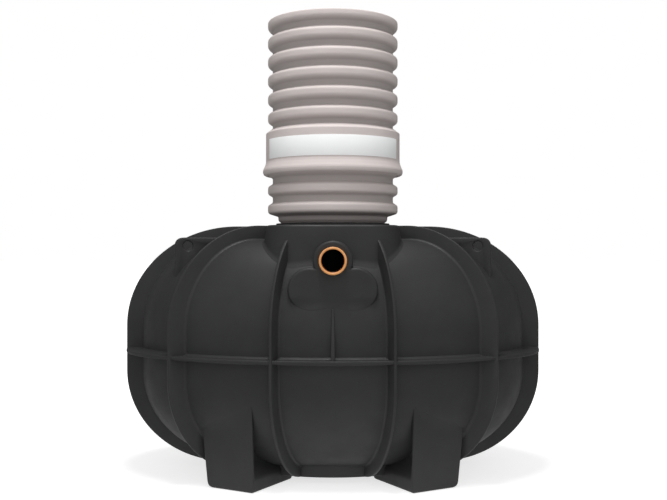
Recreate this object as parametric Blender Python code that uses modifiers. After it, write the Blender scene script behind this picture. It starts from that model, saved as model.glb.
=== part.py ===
"""Stormwater detention tank with an access riser, in metres, +Z up.

The origin is on the ground under the middle of the tank. X runs along the tank,
and the inlet side faces -Y. The tank is an elongated moulded body with ten radial
ribs, a rib round its middle and four feet, and a corrugated riser stands on it.
"""

import math

import bmesh
import bpy
from mathutils import Matrix, Vector

# Clearance between pieces that touch
GAP = 0.0003

# Tank shell, outside, from the ground up
SHELL_HALF_LENGTH = 0.885
SHELL_HALF_WIDTH = 0.515
SHELL_WALL = 0.010
SHELL_BOTTOM = 0.072
LOWER_CORNER_HEIGHT = 0.390
LOWER_STRAIGHT = 0.099
UPPER_STRAIGHT = 0.111
UPPER_CORNER_HEIGHT = 0.397
EQUATOR_HEIGHT = SHELL_BOTTOM + LOWER_CORNER_HEIGHT + LOWER_STRAIGHT
SHELL_TOP = EQUATOR_HEIGHT + UPPER_STRAIGHT + UPPER_CORNER_HEIGHT
UPPER_FLAT_SHARE = 0.55
LOWER_FLAT_SHARE = 0.51

# Ribs, by how far they stand out of the shell
RIB_THICKNESS = 0.014
RIB_OUT_AT_ENDS = 0.0815
RIB_OUT_AT_SIDES = 0.053
RIB_OUT_AT_TOP = 0.065
RIB_OUT_AT_BOTTOM = 0.040
RIB_UPPER_FLAT_SHARE = 0.466
INNER_RIB_UPPER_FLAT_SHARE = 0.500
RIB_LOWER_FLAT_SHARE = 0.517
OUTER_RIB_ANGLE = math.radians(28.6)
INNER_RIB_ANGLE = math.radians(64.6)
EQUATOR_RIB_THICKNESS = 0.016
EQUATOR_RIB_INSET = 0.005

# Neck housing on top of the tank
HOUSING_HALF_LENGTH = 0.300
HOUSING_HALF_WIDTH = 0.430
HOUSING_CORNER = 0.150
HOUSING_RISE = 0.067
HOUSING_WALL = 0.014
HOUSING_EDGE_ROUND = 0.010
HOUSING_TOP = SHELL_TOP + HOUSING_RISE

# Riser corrugations
CREST_RADIUS = 0.3037
CREST_DEPTH = 0.0221
UPPER_CREST_WIDTH = 0.034
UPPER_CREST_SLOPE = 0.024
LOWER_CREST_WIDTH = 0.037
LOWER_CREST_SLOPE = 0.013
CREST_PITCH = 0.087
RISER_WALL = 0.0136
GROOVE_RADIUS = CREST_RADIUS - CREST_DEPTH
RISER_BORE = GROOVE_RADIUS - RISER_WALL

# Spigot of the lower riser and the seal it stands in
SPIGOT_RADIUS = 0.242
SPIGOT_WALL = 0.012
SPIGOT_DEPTH = 0.044
SPIGOT_SHOULDER_STEP = 0.0136
SPIGOT_SHOULDER_HEIGHT = 0.018
SPIGOT_TAPER = 0.009
SEAL_THICKNESS = 0.0094
SEAL_FLANGE_WIDTH = 0.014
SEAL_FLANGE_THICKNESS = 0.012
SEAL_DEPTH = 0.020
NECK_HOLE_RADIUS = SPIGOT_RADIUS + SEAL_THICKNESS + 2 * GAP
SPIGOT_SEAT = HOUSING_TOP + SEAL_FLANGE_THICKNESS + 2 * GAP

# Lower riser, counted up from its spigot
LOWEST_CREST_RISE = 0.062
LOWER_CREST_COUNT = 4
LOWER_RISER_END = 0.070
LOWEST_CREST = SPIGOT_SEAT + LOWEST_CREST_RISE
LOWER_RISER_TOP = LOWEST_CREST + (LOWER_CREST_COUNT - 1) * CREST_PITCH + LOWER_RISER_END

# Upper riser, whose bell stands over the lower one
BELL_WALL = 0.0089
BELL_DEPTH = 0.174
BELL_CAP = 0.0285
BELL_SLOPE = 0.022
FLARE_OUT = 0.0146
FLARE_LIP = 0.022
FLARE_SLOPE = 0.043
UPPER_CREST_COUNT = 6
FIRST_UPPER_CREST = 0.0535
RISER_END_ABOVE_CREST = 0.0025
BELL_SEAT = LOWER_RISER_TOP + GAP
BELL_BORE = CREST_RADIUS + GAP
BELL_RADIUS = BELL_BORE + BELL_WALL
BELL_MOUTH = BELL_SEAT - BELL_DEPTH
BELL_TOP = BELL_SEAT + BELL_CAP
LOWEST_UPPER_CREST = BELL_TOP + BELL_SLOPE + FIRST_UPPER_CREST
HIGHEST_CREST = LOWEST_UPPER_CREST + (UPPER_CREST_COUNT - 1) * CREST_PITCH
RISER_TOP = HIGHEST_CREST + RISER_END_ABOVE_CREST

# Blank label on the bell
LABEL_HEIGHT = 0.091
LABEL_DROP = 0.040
LABEL_THICKNESS = 0.001
LABEL_HALF_ANGLE = math.radians(67.5)

# Inlet pipe through the housing, and the pads
PIPE_RADIUS = 0.0585
PIPE_WALL = 0.012
PIPE_DROP = 0.156
PIPE_STAND_OUT = 0.035
PIPE_REACH_IN = 0.060
PIPE_BORE = PIPE_RADIUS - PIPE_WALL
PIPE_HEIGHT = HOUSING_TOP - PIPE_DROP
PIPE_INNER_END = HOUSING_HALF_WIDTH - HOUSING_WALL - PIPE_REACH_IN
PAD_SETBACK = 0.009
PAD_LOBE_RADIUS = 0.0925
PAD_LOBE_SPREAD = 0.097
PAD_LOBE_DROP = 0.121
BOSS_WIDTH = 0.026
PAD_FACE = SHELL_HALF_WIDTH - PAD_SETBACK
PIPE_MOUTH = PAD_FACE + PIPE_STAND_OUT
PAD_LOBE_HEIGHT = PIPE_HEIGHT - PAD_LOBE_DROP
BOSS_RADIUS = PIPE_RADIUS + BOSS_WIDTH

# Gusset ribs under the pads
GUSSET_THICKNESS = 0.019
GUSSET_SHOULDER = 0.005
GUSSET_TOP_SETBACK = 0.008
GUSSET_FOOT_OUT = 0.036

# Lifting lugs
LUG_ANGLE = math.radians(18)
LUG_THICKNESS = 0.028
LUG_SETBACK = 0.145
LUG_RISE = 0.011
LUG_CORNER = 0.030
LUG_HOLE_RADIUS = 0.022
LUG_HOLE_INSET = 0.0575
LUG_HOLE_DROP = 0.038
LUG_REACH = SHELL_HALF_LENGTH - LUG_SETBACK
LUG_TOP = SHELL_TOP + LUG_RISE

# Feet and the low plinth between them
FOOT_FROM_MIDDLE = 0.331
FOOT_SETBACK = 0.053
FOOT_TURN = math.radians(28)
FOOT_SPLAY = math.radians(3.4)
FOOT_WIDTH = 0.236
FOOT_LEAN = 0.10
FOOT_DEPTH = 0.300
FOOT_EDGE_ROUND = 0.010
FOOT_PLATE = 0.016
SOLE_HEIGHT = 0.070
FOOT_POCKET_DEPTH = 0.050
PLINTH_SETBACK_AT_ENDS = 0.435
PLINTH_SETBACK_AT_SIDES = 0.193

# Fineness of the curved surfaces
SHELL_STEPS = 48
CORNER_STEPS = 8
RISER_STEPS = 32
PIPE_STEPS = 24
ARC_STEPS = 8

SHARP_ANGLE = math.radians(35)


def clear_scene():
    for obj in list(bpy.data.objects):
        bpy.data.objects.remove(obj, do_unlink=True)


def new_collection(name):
    collection = bpy.data.collections.new(name)
    bpy.context.scene.collection.children.link(collection)
    return collection


def new_material(name, colour, roughness, metallic=0.0):
    material = bpy.data.materials.new(name)
    material.use_nodes = True
    shader = material.node_tree.nodes["Principled BSDF"]
    shader.inputs["Base Color"].default_value = (*colour, 1.0)
    shader.inputs["Roughness"].default_value = roughness
    shader.inputs["Metallic"].default_value = metallic
    return material


clear_scene()
parts = new_collection("detention_tank")
cutters = new_collection("cutters")

BLACK = ((0.030, 0.031, 0.032), 0.50)
BEIGE = ((0.56, 0.51, 0.48), 0.55)
WHITE = ((0.90, 0.90, 0.90), 0.45)
ORANGE = ((0.80, 0.33, 0.08), 0.40)
RUBBER = ((0.015, 0.015, 0.015), 0.80)


def add_part(name, mesh, finish):
    """Put a mesh in the part's collection with a material of its own."""
    obj = bpy.data.objects.new(name, mesh)
    parts.objects.link(obj)
    mesh.materials.clear()
    mesh.materials.append(new_material(name, *finish))
    return obj


def add_cutter(name, mesh):
    obj = bpy.data.objects.new(name, mesh)
    cutters.objects.link(obj)
    obj.hide_render = True
    obj.display_type = "WIRE"
    return obj


def evaluated_mesh(obj):
    """Turn an object with modifiers, or a curve, into a plain mesh."""
    depsgraph = bpy.context.evaluated_depsgraph_get()
    mesh = bpy.data.meshes.new_from_object(obj.evaluated_get(depsgraph))
    shape = bmesh.new()
    shape.from_mesh(mesh)
    bmesh.ops.remove_doubles(shape, verts=shape.verts, dist=0.00001)
    shape.to_mesh(mesh)
    shape.free()
    bpy.data.objects.remove(obj, do_unlink=True)
    return mesh


def turned(points, closed, steps, squeeze=1.0):
    """Turn a profile about Z, then squeeze it across the tank."""
    profile = bpy.data.meshes.new("profile")
    edges = [(i, i + 1) for i in range(len(points) - 1)]
    if closed:
        edges.append((len(points) - 1, 0))
    profile.from_pydata([(radius, 0, height) for radius, height in points], edges, [])
    obj = bpy.data.objects.new("profile", profile)
    parts.objects.link(obj)
    screw = obj.modifiers.new("Screw", "SCREW")
    screw.axis = "Z"
    screw.steps = steps
    screw.render_steps = steps
    screw.use_merge_vertices = True
    screw.merge_threshold = 0.00001
    mesh = evaluated_mesh(obj)
    mesh.transform(Matrix.Diagonal((1, squeeze, 1, 1)))
    return mesh


def plate(outline, thickness, matrix, hole=None):
    """A flat outline given its thickness, and then placed by a matrix."""
    curve = bpy.data.curves.new("outline", "CURVE")
    curve.dimensions = "2D"
    curve.fill_mode = "BOTH"
    curve.extrude = thickness / 2
    for ring in (outline, hole):
        if ring:
            spline = curve.splines.new("POLY")
            spline.points.add(len(ring) - 1)
            for point, (x, y) in zip(spline.points, ring):
                point.co = (x, y, 0, 1)
            spline.use_cyclic_u = True
    obj = bpy.data.objects.new("outline", curve)
    parts.objects.link(obj)
    mesh = evaluated_mesh(obj)
    mesh.transform(matrix)
    return mesh


def radial_plane(angle):
    """Local X points outward at this angle, and local Y points up."""
    outward = Vector((math.cos(angle), math.sin(angle), 0))
    up = Vector((0, 0, 1))
    across = outward.cross(up)
    return Matrix((outward, up, across)).transposed().to_4x4()


def facing(side, reach):
    """Local X and Y lie in an upright plane at this reach in front or behind."""
    turn = Matrix.Rotation(0 if side < 0 else math.pi, 4, "Z")
    return turn @ Matrix.Translation((0, -reach, 0)) @ Matrix.Rotation(math.pi / 2, 4, "X")


def arc(centre, radius, start, end, steps):
    """Points on a circle, from one angle to another."""
    turns = [start + (end - start) * i / steps for i in range(steps + 1)]
    return [(centre[0] + radius * math.cos(t), centre[1] + radius * math.sin(t)) for t in turns]


def circle(centre, radius, steps):
    return arc(centre, radius, 0, 2 * math.pi, steps)[:-1]


def ellipse(half_x, half_y, steps):
    return [(half_x * x, half_y * y) for x, y in circle((0, 0), 1, steps)]


def rounded_rectangle(half_x, half_y, radius, steps):
    points = []
    for quarter, (sx, sy) in enumerate(((1, 1), (-1, 1), (-1, -1), (1, -1))):
        centre = (sx * (half_x - radius), sy * (half_y - radius))
        start = quarter * math.pi / 2
        points += arc(centre, radius, start, start + math.pi / 2, steps)
    return points


def corner(flat, reach, level, rise):
    """Quarter of an ellipse, from its flat end out to its upright side."""
    turns = [math.pi / 2 * i / CORNER_STEPS for i in range(CORNER_STEPS + 1)]
    return [(flat + (reach - flat) * math.sin(t), level + rise * math.cos(t)) for t in turns]


def body_profile(reach, top, bottom, upper_share, lower_share):
    """Upper and lower halves of an outline, each from its flat to its straight side."""
    high = EQUATOR_HEIGHT + UPPER_STRAIGHT
    low = EQUATOR_HEIGHT - LOWER_STRAIGHT
    upper = corner(upper_share * reach, reach, high, top - high)
    lower = corner(lower_share * reach, reach, low, bottom - low)
    return upper, lower


def shell_profile(grow):
    return body_profile(SHELL_HALF_LENGTH + grow, SHELL_TOP + grow, SHELL_BOTTOM - grow,
                        UPPER_FLAT_SHARE, LOWER_FLAT_SHARE)


def rib_profile(angle, upper_share):
    """A rib's outer edge, drawn in by the tank's plan at the rib's angle."""
    half_length = SHELL_HALF_LENGTH + RIB_OUT_AT_ENDS
    half_width = SHELL_HALF_WIDTH + RIB_OUT_AT_SIDES
    reach = 1 / math.hypot(math.cos(angle) / half_length, math.sin(angle) / half_width)
    return body_profile(reach, SHELL_TOP + RIB_OUT_AT_TOP, SHELL_BOTTOM - RIB_OUT_AT_BOTTOM,
                        upper_share, RIB_LOWER_FLAT_SHARE)


def cut(obj, *tools):
    for tool in tools:
        boolean = obj.modifiers.new("Cut", "BOOLEAN")
        boolean.operation = "DIFFERENCE"
        boolean.solver = "EXACT"
        boolean.object = tool


def round_edges(obj, width, segments=2):
    """Round the square edges and leave the facets of curved walls alone."""
    bevel = obj.modifiers.new("Bevel", "BEVEL")
    bevel.width = width
    bevel.segments = segments
    bevel.limit_method = "ANGLE"
    bevel.angle_limit = math.radians(60)


def smooth(obj):
    obj.data.shade_smooth()
    obj.data.set_sharp_from_angle(angle=SHARP_ANGLE)


def solidify(obj, thickness):
    solid = obj.modifiers.new("Solidify", "SOLIDIFY")
    solid.thickness = thickness
    solid.offset = -1
    solid.use_even_offset = True


def shell_cutter():
    """The whole volume of the tank, a little larger than its shell."""
    upper, lower = shell_profile(GAP)
    profile = [(0, upper[0][1])] + upper + lower[::-1] + [(0, lower[0][1])]
    squeeze = (SHELL_HALF_WIDTH + GAP) / (SHELL_HALF_LENGTH + GAP)
    return add_cutter("shell_volume", turned(profile, False, SHELL_STEPS, squeeze))


def housing_outline(grow):
    return rounded_rectangle(
        HOUSING_HALF_LENGTH + grow, HOUSING_HALF_WIDTH + grow, HOUSING_CORNER + grow, ARC_STEPS)


def upright_prism(outline, bottom, top):
    middle = Matrix.Translation((0, 0, (bottom + top) / 2))
    return plate(outline, top - bottom, middle)


def pipe_hole():
    """A cutter for the holes that the inlet pipe passes through."""
    across = facing(-1, SHELL_HALF_WIDTH) @ Matrix.Translation((0, PIPE_HEIGHT, 0))
    outline = circle((0, 0), PIPE_RADIUS + GAP, PIPE_STEPS)
    return add_cutter("pipe_hole", plate(outline, SHELL_HALF_WIDTH, across))


def build_shells(bore):
    """Two open halves that meet inside the rib round the middle."""
    squeeze = SHELL_HALF_WIDTH / SHELL_HALF_LENGTH
    upper, lower = shell_profile(0)
    rim = (SHELL_HALF_LENGTH, EQUATOR_HEIGHT + GAP / 2)
    well = (HOUSING_HALF_LENGTH / 2, SHELL_TOP)
    mesh = turned([well] + upper + [rim], False, SHELL_STEPS, squeeze)
    top_half = add_part("upper_shell", mesh, BLACK)
    solidify(top_half, SHELL_WALL)
    outline = housing_outline(-HOUSING_WALL)
    opening = add_cutter("neck_opening", upright_prism(outline, EQUATOR_HEIGHT, RISER_TOP))
    cut(top_half, opening, bore)
    smooth(top_half)

    rim = (SHELL_HALF_LENGTH, EQUATOR_HEIGHT - GAP / 2)
    profile = [rim] + lower[::-1] + [(0, SHELL_BOTTOM)]
    mesh = turned(profile, False, SHELL_STEPS, squeeze)
    bottom_half = add_part("lower_shell", mesh, BLACK)
    solidify(bottom_half, SHELL_WALL)
    smooth(bottom_half)


def build_equator_rib(shell_volume):
    half_length = SHELL_HALF_LENGTH + RIB_OUT_AT_ENDS - EQUATOR_RIB_INSET
    half_width = SHELL_HALF_WIDTH + RIB_OUT_AT_SIDES - EQUATOR_RIB_INSET
    outline = ellipse(half_length, half_width, SHELL_STEPS)
    half = EQUATOR_RIB_THICKNESS / 2
    mesh = upright_prism(outline, EQUATOR_HEIGHT - half, EQUATOR_HEIGHT + half)
    ring = add_part("equator_rib", mesh, BLACK)
    cut(ring, shell_volume)
    smooth(ring)


def build_housing(shell_volume, bore):
    """A hollow block round the neck, with the riser's hole and the pipe's hole."""
    foot = EQUATOR_HEIGHT
    mesh = upright_prism(housing_outline(0), foot, HOUSING_TOP)
    housing = add_part("neck_housing", mesh, BLACK)
    round_edges(housing, HOUSING_EDGE_ROUND)
    inside = upright_prism(housing_outline(-HOUSING_WALL), foot - GAP, HOUSING_TOP - HOUSING_WALL)
    outline = circle((0, 0), NECK_HOLE_RADIUS, RISER_STEPS)
    neck = upright_prism(outline, foot, RISER_TOP)
    cut(housing, add_cutter("housing_inside", inside), add_cutter("neck_hole", neck),
        bore, shell_volume)
    smooth(housing)
    outer = upright_prism(housing_outline(GAP), foot, HOUSING_TOP + GAP)
    return add_cutter("housing_volume", outer)


def plinth_prism(grow):
    half_length = SHELL_HALF_LENGTH - PLINTH_SETBACK_AT_ENDS + grow
    half_width = SHELL_HALF_WIDTH - PLINTH_SETBACK_AT_SIDES + grow
    outline = ellipse(half_length, half_width, SHELL_STEPS)
    return upright_prism(outline, SHELL_BOTTOM - RIB_OUT_AT_BOTTOM - grow, EQUATOR_HEIGHT)


def build_plinth(shell_volume):
    plinth = add_part("base_plinth", plinth_prism(0), BLACK)
    cut(plinth, shell_volume)
    smooth(plinth)
    return add_cutter("plinth_volume", plinth_prism(GAP))


def foot_frame(sx, sy):
    """A frame on the foot's nearest corner: X across its face, Y back under the tank."""
    across = Vector((math.cos(FOOT_TURN), -math.sin(FOOT_TURN), 0))
    side = FOOT_TURN + FOOT_SPLAY
    back = Vector((math.sin(side), math.cos(side), 0))
    frame = Matrix((across, back, Vector((0, 0, 1)))).transposed().to_4x4()
    frame.translation = (-FOOT_FROM_MIDDLE, FOOT_SETBACK - SHELL_HALF_WIDTH, 0)
    return Matrix.Diagonal((-sx, -sy, 1, 1)) @ frame


def foot_box(frame, low, high, lean=0.0):
    """A box given by two corners in the foot's frame, whose outer side leans out upwards."""
    shape = bmesh.new()
    bmesh.ops.create_cube(shape, size=1)
    size = [h - l for l, h in zip(low, high)]
    middle = [(l + h) / 2 for l, h in zip(low, high)]
    bmesh.ops.scale(shape, vec=size, verts=shape.verts)
    bmesh.ops.translate(shape, vec=middle, verts=shape.verts)
    for vert in shape.verts:
        if vert.co.x < middle[0] and vert.co.z > middle[2]:
            vert.co.x -= lean * size[2]
    bmesh.ops.transform(shape, matrix=frame, verts=shape.verts)
    bmesh.ops.recalc_face_normals(shape, faces=shape.faces)
    mesh = bpy.data.meshes.new("foot")
    shape.to_mesh(mesh)
    shape.free()
    return mesh


def build_foot(name, sx, sy, shell_volume, plinth_volume):
    """A leg with a flat face, a pocket in its inner side and a flat sole."""
    frame = foot_frame(sx, sy)
    top = EQUATOR_HEIGHT - LOWER_STRAIGHT
    block = foot_box(frame, (-FOOT_WIDTH, 0, 0), (0, FOOT_DEPTH, top), FOOT_LEAN)
    foot = add_part(name, block, BLACK)
    round_edges(foot, FOOT_EDGE_ROUND)
    pocket_low = (-FOOT_POCKET_DEPTH, FOOT_PLATE, SOLE_HEIGHT)
    pocket_high = (FOOT_POCKET_DEPTH, FOOT_DEPTH * 2, top * 2)
    pocket = foot_box(frame, pocket_low, pocket_high)
    cut(foot, add_cutter(name + "_pocket", pocket), shell_volume, plinth_volume)
    low = (-FOOT_WIDTH - GAP, -GAP, -GAP)
    high = (GAP, FOOT_DEPTH + GAP, top)
    return add_cutter(name + "_volume", foot_box(frame, low, high, FOOT_LEAN))


def rib_outlines(angle, upper_share):
    """Outlines of the rib above and below the middle, closed inside the tank."""
    upper, lower = rib_profile(angle, upper_share)
    half = EQUATOR_RIB_THICKNESS / 2 + GAP
    reach = upper[-1][0]
    core = HOUSING_HALF_LENGTH / 4
    over = [(core, EQUATOR_HEIGHT + half), (reach, EQUATOR_HEIGHT + half)]
    over += upper[::-1] + [(core, upper[0][1])]
    under = [(core, lower[0][1])] + lower
    under += [(reach, EQUATOR_HEIGHT - half), (core, EQUATOR_HEIGHT - half)]
    return over, under


def build_ribs(shell_volume, housing_volume, plinth_volume, feet):
    places = {
        "right": 0.0, "back_right_outer": OUTER_RIB_ANGLE, "back_right_inner": INNER_RIB_ANGLE,
        "back_left_inner": math.pi - INNER_RIB_ANGLE,
        "back_left_outer": math.pi - OUTER_RIB_ANGLE,
        "left": math.pi, "front_left_outer": math.pi + OUTER_RIB_ANGLE,
        "front_left_inner": math.pi + INNER_RIB_ANGLE,
        "front_right_inner": -INNER_RIB_ANGLE, "front_right_outer": -OUTER_RIB_ANGLE,
    }
    for place, angle in places.items():
        inner = place.endswith("_inner")
        share = INNER_RIB_UPPER_FLAT_SHARE if inner else RIB_UPPER_FLAT_SHARE
        over, under = rib_outlines(angle, share)
        mesh = plate(over, RIB_THICKNESS, radial_plane(angle))
        upper = add_part("upper_rib_" + place, mesh, BLACK)
        cut(upper, shell_volume, housing_volume)
        mesh = plate(under, RIB_THICKNESS, radial_plane(angle))
        lower = add_part("lower_rib_" + place, mesh, BLACK)
        cut(lower, shell_volume, plinth_volume)
        if place.endswith("_outer"):
            cut(lower, feet[place.replace("_outer", "")])


def reach_to_disc(start, turn, centre, radius):
    """How far a ray goes from a start point before it leaves a disc, or 0 if it misses."""
    ray = Vector((math.cos(turn), math.sin(turn)))
    offset = Vector(centre) - start
    along = offset.dot(ray)
    miss = offset.length_squared - along ** 2
    return along + math.sqrt(radius ** 2 - miss) if miss < radius ** 2 else 0


def pad_outline():
    """The outline round the boss and the two lobes, with a straight edge under the lobes."""
    start = Vector((0, (PIPE_HEIGHT + PAD_LOBE_HEIGHT) / 2))
    foot = start.y - PAD_LOBE_HEIGHT + PAD_LOBE_RADIUS
    discs = (((0, PIPE_HEIGHT), BOSS_RADIUS),
             ((PAD_LOBE_SPREAD, PAD_LOBE_HEIGHT), PAD_LOBE_RADIUS),
             ((-PAD_LOBE_SPREAD, PAD_LOBE_HEIGHT), PAD_LOBE_RADIUS))
    steps = 6 * ARC_STEPS
    outline = []
    for i in range(steps):
        turn = 2 * math.pi * (i + 0.5) / steps
        straight = -math.sin(turn) * PAD_LOBE_SPREAD > foot * abs(math.cos(turn))
        if not straight:
            reach = max(reach_to_disc(start, turn, centre, radius) for centre, radius in discs)
            outline.append((reach * math.cos(turn), start.y + reach * math.sin(turn)))
    return outline


def build_pads(shell_volume, housing_volume, bore):
    """Flat moulded pads, a boss with two lobes. Only the front one is drilled."""
    depth = PAD_FACE - HOUSING_HALF_WIDTH + HOUSING_WALL
    for name, side in (("front", -1), ("back", 1)):
        mesh = plate(pad_outline(), depth, facing(side, PAD_FACE - depth / 2))
        pad = add_part(name + "_pipe_pad", mesh, BLACK)
        cut(pad, shell_volume, housing_volume, bore)
        smooth(pad)


def build_pipe():
    profile = [(PIPE_RADIUS, PIPE_MOUTH), (PIPE_RADIUS, PIPE_INNER_END),
               (PIPE_BORE, PIPE_INNER_END), (PIPE_BORE, PIPE_MOUTH)]
    mesh = turned(profile, True, PIPE_STEPS)
    mesh.transform(facing(-1, 0) @ Matrix.Translation((0, PIPE_HEIGHT, 0)))
    smooth(add_part("inlet_pipe", mesh, ORANGE))


def build_gussets(shell_volume):
    foot = EQUATOR_HEIGHT + EQUATOR_RIB_THICKNESS / 2 + GAP
    top = PAD_LOBE_HEIGHT - PAD_LOBE_RADIUS - GUSSET_SHOULDER
    core = SHELL_HALF_WIDTH / 2
    outline = [(core, foot), (SHELL_HALF_WIDTH + GUSSET_FOOT_OUT, foot),
               (SHELL_HALF_WIDTH - GUSSET_TOP_SETBACK, top), (core, top)]
    for name, angle in (("front_gusset", -math.pi / 2), ("back_gusset", math.pi / 2)):
        mesh = plate(outline, GUSSET_THICKNESS, radial_plane(angle))
        gusset = add_part(name, mesh, BLACK)
        cut(gusset, shell_volume)


def build_lugs(shell_volume):
    core = SHELL_HALF_LENGTH / 2
    bend = (LUG_REACH - LUG_CORNER, LUG_TOP - LUG_CORNER)
    outline = [(core, EQUATOR_HEIGHT), (LUG_REACH, EQUATOR_HEIGHT + UPPER_STRAIGHT)]
    outline += arc(bend, LUG_CORNER, 0, math.pi / 2, ARC_STEPS) + [(core, LUG_TOP)]
    hole = circle((LUG_REACH - LUG_HOLE_INSET, LUG_TOP - LUG_HOLE_DROP), LUG_HOLE_RADIUS, PIPE_STEPS)
    places = {"back_right": LUG_ANGLE, "back_left": math.pi - LUG_ANGLE,
              "front_left": math.pi + LUG_ANGLE, "front_right": -LUG_ANGLE}
    for place, angle in places.items():
        mesh = plate(outline, LUG_THICKNESS, radial_plane(angle), hole)
        lug = add_part("lifting_lug_" + place, mesh, BLACK)
        cut(lug, shell_volume)


def crest(middle, width, slope):
    """Outer points of one corrugation, from its top to its bottom."""
    half = width / 2
    return [(GROOVE_RADIUS, middle + half + slope), (CREST_RADIUS, middle + half),
            (CREST_RADIUS, middle - half), (GROOVE_RADIUS, middle - half - slope)]


def build_lower_riser():
    """A corrugated stub whose spigot stands in the neck."""
    shoulder = SPIGOT_RADIUS + SPIGOT_SHOULDER_STEP
    shoulder_foot = SPIGOT_SEAT + SPIGOT_TAPER
    shoulder_top = shoulder_foot + SPIGOT_SHOULDER_HEIGHT
    bore = SPIGOT_RADIUS - SPIGOT_WALL
    foot = HOUSING_TOP - SPIGOT_DEPTH
    profile = [(GROOVE_RADIUS, LOWER_RISER_TOP)]
    for i in reversed(range(LOWER_CREST_COUNT)):
        middle = LOWEST_CREST + i * CREST_PITCH
        profile += crest(middle, LOWER_CREST_WIDTH, LOWER_CREST_SLOPE)
    profile[-1] = (shoulder, shoulder_top)
    profile += [(shoulder, shoulder_foot), (SPIGOT_RADIUS, SPIGOT_SEAT), (SPIGOT_RADIUS, foot),
                (bore, foot), (bore, shoulder_top), (RISER_BORE, LOWEST_CREST),
                (RISER_BORE, LOWER_RISER_TOP)]
    smooth(add_part("riser_lower", turned(profile, True, RISER_STEPS), BEIGE))


def build_upper_riser():
    """A corrugated pipe whose flared bell stands over the stub."""
    profile = []
    for i in range(UPPER_CREST_COUNT):
        profile += crest(HIGHEST_CREST - i * CREST_PITCH, UPPER_CREST_WIDTH, UPPER_CREST_SLOPE)
    profile[:2] = [(CREST_RADIUS, RISER_TOP)]
    flare = BELL_RADIUS + FLARE_OUT
    lip = BELL_MOUTH + FLARE_LIP
    profile += [(GROOVE_RADIUS, BELL_TOP + BELL_SLOPE), (BELL_RADIUS, BELL_TOP),
                (BELL_RADIUS, lip + FLARE_SLOPE), (flare, lip), (flare, BELL_MOUTH + GAP),
                (BELL_BORE, BELL_MOUTH), (BELL_BORE, BELL_SEAT), (RISER_BORE, BELL_SEAT),
                (RISER_BORE, RISER_TOP)]
    smooth(add_part("riser_upper", turned(profile, True, RISER_STEPS), BEIGE))


def build_seal():
    """A ring in the neck with a flange under the spigot's taper."""
    inner = SPIGOT_RADIUS + GAP
    outer = inner + SEAL_THICKNESS
    base = HOUSING_TOP + GAP
    top = base + SEAL_FLANGE_THICKNESS
    profile = [(outer + SEAL_FLANGE_WIDTH, top), (outer + SEAL_FLANGE_WIDTH, base),
               (outer, base), (outer, base - SEAL_DEPTH), (inner, base - SEAL_DEPTH), (inner, top)]
    smooth(add_part("riser_seal", turned(profile, True, RISER_STEPS), RUBBER))


def build_label():
    """A blank band on the front of the bell, in whole facets of the riser."""
    facet = 2 * math.pi / RISER_STEPS
    facets = round(LABEL_HALF_ANGLE / facet)
    start = -math.pi / 2 - facets * facet
    end = -math.pi / 2 + facets * facet
    inner = BELL_RADIUS + GAP
    outline = arc((0, 0), inner + LABEL_THICKNESS, start, end, 2 * facets)
    outline += arc((0, 0), inner, end, start, 2 * facets)
    top = BELL_TOP - LABEL_DROP
    smooth(add_part("label_band", upright_prism(outline, top - LABEL_HEIGHT, top), WHITE))


def build():
    shell_volume = shell_cutter()
    bore = pipe_hole()
    build_shells(bore)
    build_equator_rib(shell_volume)
    housing_volume = build_housing(shell_volume, bore)
    plinth_volume = build_plinth(shell_volume)
    feet = {}
    for name, sx, sy in (("front_left", -1, -1), ("front_right", 1, -1),
                         ("back_left", -1, 1), ("back_right", 1, 1)):
        feet[name] = build_foot("foot_" + name, sx, sy, shell_volume, plinth_volume)
    build_ribs(shell_volume, housing_volume, plinth_volume, feet)
    build_pads(shell_volume, housing_volume, bore)
    build_pipe()
    build_gussets(shell_volume)
    build_lugs(shell_volume)
    build_lower_riser()
    build_upper_riser()
    build_seal()
    build_label()


build()
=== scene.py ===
"""Looks of the stormwater detention tank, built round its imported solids."""

import math

import bmesh
import bpy
import numpy as np
from mathutils import Matrix, Vector


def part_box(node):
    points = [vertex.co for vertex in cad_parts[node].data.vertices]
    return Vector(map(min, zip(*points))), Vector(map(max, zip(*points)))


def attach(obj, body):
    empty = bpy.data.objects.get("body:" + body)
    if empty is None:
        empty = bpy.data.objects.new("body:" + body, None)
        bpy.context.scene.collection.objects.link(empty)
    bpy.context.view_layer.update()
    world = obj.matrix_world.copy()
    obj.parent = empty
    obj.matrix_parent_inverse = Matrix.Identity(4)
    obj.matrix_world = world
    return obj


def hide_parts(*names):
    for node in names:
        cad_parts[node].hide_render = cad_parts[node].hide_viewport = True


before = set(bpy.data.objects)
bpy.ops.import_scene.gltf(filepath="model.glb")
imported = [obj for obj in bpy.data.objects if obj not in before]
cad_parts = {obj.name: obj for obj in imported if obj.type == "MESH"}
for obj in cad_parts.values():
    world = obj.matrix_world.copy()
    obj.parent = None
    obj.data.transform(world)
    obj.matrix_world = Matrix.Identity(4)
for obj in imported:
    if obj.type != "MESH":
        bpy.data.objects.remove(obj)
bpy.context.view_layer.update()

# Sizes read from the solids
SHELL_X, SHELL_Y, SHELL_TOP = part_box("upper_shell")[1]
SHELL_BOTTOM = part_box("lower_shell")[0].z
RIB_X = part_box("upper_rib_right")[1].x
RIB_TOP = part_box("upper_rib_right")[1].z
RIB_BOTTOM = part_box("lower_rib_right")[0].z
RING_LOW, RING_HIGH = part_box("equator_rib")
EQUATOR = (RING_LOW.z + RING_HIGH.z) / 2
RING_HALF = (RING_HIGH.z - RING_LOW.z) / 2
HOUSING_X, HOUSING_Y, HOUSING_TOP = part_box("neck_housing")[1]
PLINTH_X, PLINTH_Y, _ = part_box("base_plinth")[1]
SQUEEZE = SHELL_Y / SHELL_X
RING_INSET = RIB_X - RING_HIGH.x
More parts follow.
